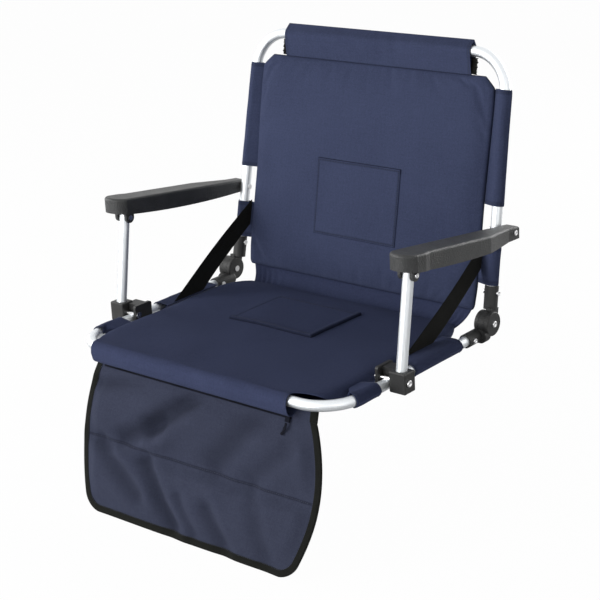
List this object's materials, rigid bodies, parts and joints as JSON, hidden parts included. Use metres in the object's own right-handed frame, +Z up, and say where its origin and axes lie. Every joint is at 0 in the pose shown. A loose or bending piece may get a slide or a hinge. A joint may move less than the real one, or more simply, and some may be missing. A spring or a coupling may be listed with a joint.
{
  "type": "stadium seat",
  "caption": "Folding bench-top seat with a padded cloth seat and back on bent tubes, folding armrests on posts, and a quilted flap that hangs over the bench's front edge.",
  "frame": {"origin": "centre of the face that rests on the bench, under the middle of the seat", "axes": "+Z up, the sitter faces -Y, +X to the right of someone looking at the seat's front"},
  "size_m": [0.596, 0.522, 0.6646],
  "materials": {
    "frame_tube": "satin anodised",
    "fitting_plastic": "fine grained",
    "armrest_plastic": "fine grained",
    "rivet_steel": "bright",
    "webbing": "woven webbing",
    "binding_tape": "woven tape",
    "grip_tape": "hook and loop",
    "zip": "moulded",
    "zip_tag": "soft moulded",
    "under_cloth": "coated cloth",
    "cover_cloth": "matt woven cloth, lightly padded"
  },
  "bodies": {
    "seat": {"seat_frame_tube": "frame_tube", "lower_hinge_socket_left": "fitting_plastic", "lower_hinge_socket_right": "fitting_plastic", "hinge_pins": "rivet_steel", "lower_socket_rivets": "rivet_steel", "bracket_pivot_pins": "rivet_steel", "seat_pad": "cover_cloth", "seat_front_sleeve": "cover_cloth", "seat_under_panel": "under_cloth", "flap_root_band": "cover_cloth", "seat_front_side_sleeve_left": "cover_cloth", "seat_front_side_sleeve_right": "cover_cloth", "seat_rear_side_sleeve_left": "cover_cloth", "seat_rear_side_sleeve_right": "cover_cloth", "seat_pocket": "cover_cloth", "strap_left": "webbing", "strap_right": "webbing", "crease_gusset": "cover_cloth"},
    "back": {"back_frame_tube": "frame_tube", "upper_hinge_socket_left": "fitting_plastic", "upper_hinge_socket_right": "fitting_plastic", "upper_socket_rivets": "rivet_steel", "arm_pivot_rivets": "rivet_steel", "arm_pivot_washers": "fitting_plastic", "back_pad": "cover_cloth", "back_lower_side_sleeve_left": "cover_cloth", "back_lower_side_sleeve_right": "cover_cloth", "back_upper_side_sleeve_left": "cover_cloth", "back_upper_side_sleeve_right": "cover_cloth", "back_top_sleeve": "cover_cloth", "top_sleeve_grip_strips": "grip_tape", "back_pocket": "cover_cloth"},
    "arm_left": {"armrest_left": "armrest_plastic", "ear_rivet_left": "rivet_steel"},
    "arm_right": {"armrest_right": "armrest_plastic", "ear_rivet_right": "rivet_steel"},
    "post_left": {"post_tube_left": "frame_tube", "post_bracket_left": "fitting_plastic"},
    "post_right": {"post_tube_right": "frame_tube", "post_bracket_right": "fitting_plastic"},
    "flap": {"flap_panel": "cover_cloth", "flap_binding": "binding_tape", "zip_chain": "zip"},
    "zip": {"zip_slider": "zip", "zip_pull": "zip_tag"}
  },
  "joints": [
    {"name": "back_fold", "type": "hinge", "parent": "seat", "child": "back", "pos_m": [0, 0.1765, 0.027], "axis": [1, 0, 0], "range_deg": [0, 92], "deforming": ["strap_left", "strap_right", "crease_gusset"]},
    {"name": "arm_pivot_left", "type": "hinge", "parent": "back", "child": "arm_left", "pos_m": [0, 0.21559, 0.16007], "axis": [1, 0, 0], "range_deg": [-88.8, 0]},
    {"name": "post_pivot_left", "type": "hinge", "parent": "seat", "child": "post_left", "pos_m": [0, -0.066, 0.0205], "axis": [1, 0, 0], "range_deg": [0, 87]},
    {"name": "arm_pivot_right", "type": "hinge", "parent": "back", "child": "arm_right", "pos_m": [0, 0.21559, 0.16007], "axis": [1, 0, 0], "range_deg": [-88.8, 0]},
    {"name": "post_pivot_right", "type": "hinge", "parent": "seat", "child": "post_right", "pos_m": [0, -0.066, 0.0205], "axis": [1, 0, 0], "range_deg": [0, 87]},
    {"name": "flap_swing", "type": "hinge", "parent": "seat", "child": "flap", "pos_m": [0, -0.1764, -0.013], "axis": [1, 0, 0], "range_deg": [-45, 60]},
    {"name": "zip_slide", "type": "slide", "parent": "flap", "child": "zip", "axis": [1, 0, 0], "range_m": [-0.345, 0]}
  ],
  "couplings": [
    {"joint": "arm_pivot_left", "follows": "back_fold", "ratio": -0.9598},
    {"joint": "post_pivot_left", "follows": "back_fold", "ratio": 0.9407},
    {"joint": "arm_pivot_right", "follows": "back_fold", "ratio": -0.9598},
    {"joint": "post_pivot_right", "follows": "back_fold", "ratio": 0.9407}
  ]
}
